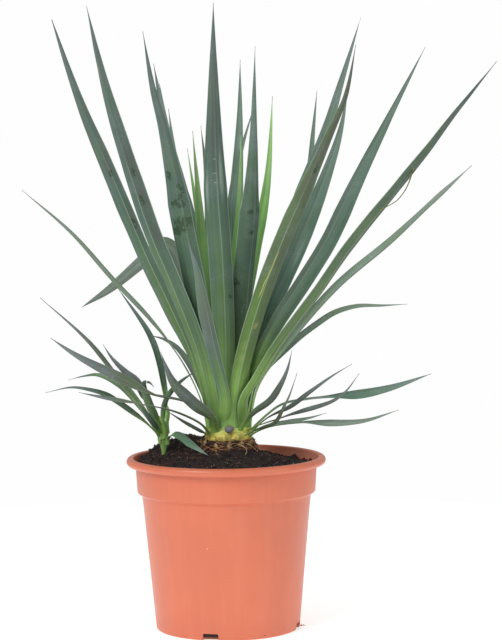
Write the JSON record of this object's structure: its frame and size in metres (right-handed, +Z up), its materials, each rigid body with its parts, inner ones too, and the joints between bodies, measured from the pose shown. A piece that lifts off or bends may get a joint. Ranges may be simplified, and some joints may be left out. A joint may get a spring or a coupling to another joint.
{
  "type": "potted yucca",
  "caption": "Yucca with a rosette of long blue-green sword leaves, low arching leaves and a small side shoot, in dark soil in a round terracotta-coloured nursery pot.",
  "frame": {"origin": "middle of the pot's flat underside, where it stands", "axes": "+Z up along the pot's axis, -Y towards the viewer of the picture, +X to the viewer's right"},
  "size_m": [0.494, 0.4154, 0.6521],
  "materials": {
    "pot_plastic": "terracotta-coloured moulded plastic",
    "peat": "moist dark peat, crumbly",
    "crown_flesh": "yellow-green living stem",
    "root_husk": "dry papery husk and roots",
    "offset_flesh": "green living stem",
    "leaf_blue": "blue-green leaf with a waxy bloom",
    "leaf_grey": "grey-green leaf",
    "leaf_dark": "dark green leaf",
    "leaf_olive": "olive-green leaf",
    "leaf_teal": "teal leaf",
    "leaf_green": "green leaf",
    "leaf_young": "bright young leaf"
  },
  "bodies": {
    "root": {"pot": "pot_plastic", "soil": "peat", "crown": "crown_flesh", "root_collar": "root_husk", "offset_stem": "offset_flesh", "leaf_left_outer": "leaf_blue", "leaf_left_middle": "leaf_blue", "leaf_left_inner": "leaf_blue", "leaf_front_short": "leaf_grey", "leaf_front_tall": "leaf_blue", "leaf_front_dark": "leaf_dark", "leaf_right_olive": "leaf_olive", "leaf_right_teal": "leaf_teal", "leaf_right_middle": "leaf_teal", "leaf_right_outer": "leaf_green", "leaf_right_low": "leaf_grey", "leaf_right_arched": "leaf_grey", "leaf_left_low": "leaf_grey", "leaf_left_curled": "leaf_teal", "leaf_rear_bent": "leaf_grey", "leaf_rear_left_1": "leaf_blue", "leaf_rear_left_2": "leaf_blue", "leaf_rear_left_3": "leaf_blue", "leaf_young_1": "leaf_young", "leaf_young_2": "leaf_young", "leaf_young_3": "leaf_olive", "leaf_young_4": "leaf_young", "leaf_heart_1": "leaf_teal", "leaf_heart_2": "leaf_young", "leaf_heart_3": "leaf_teal", "leaf_rear_right_1": "leaf_teal", "leaf_rear_right_2": "leaf_blue", "leaf_rear_1": "leaf_teal", "leaf_rear_2": "leaf_blue", "leaf_rear_3": "leaf_teal", "low_leaf_left_1": "leaf_dark", "low_leaf_left_2": "leaf_grey", "low_leaf_left_3": "leaf_dark", "low_leaf_left_4": "leaf_dark", "low_leaf_right_1": "leaf_dark", "low_leaf_right_2": "leaf_dark", "low_leaf_right_3": "leaf_dark", "low_leaf_right_4": "leaf_dark", "low_leaf_right_5": "leaf_teal", "low_leaf_right_6": "leaf_grey", "low_leaf_right_7": "leaf_grey", "low_leaf_rear_1": "leaf_dark", "low_leaf_rear_2": "leaf_dark", "offset_leaf_1": "leaf_dark", "offset_leaf_2": "leaf_green", "offset_leaf_3": "leaf_grey", "offset_leaf_4": "leaf_green", "offset_leaf_5": "leaf_dark", "offset_leaf_6": "leaf_dark", "offset_leaf_7": "leaf_green", "offset_leaf_8": "leaf_dark", "offset_leaf_9": "leaf_dark", "offset_leaf_10": "leaf_teal"}
  },
  "joints": []
}
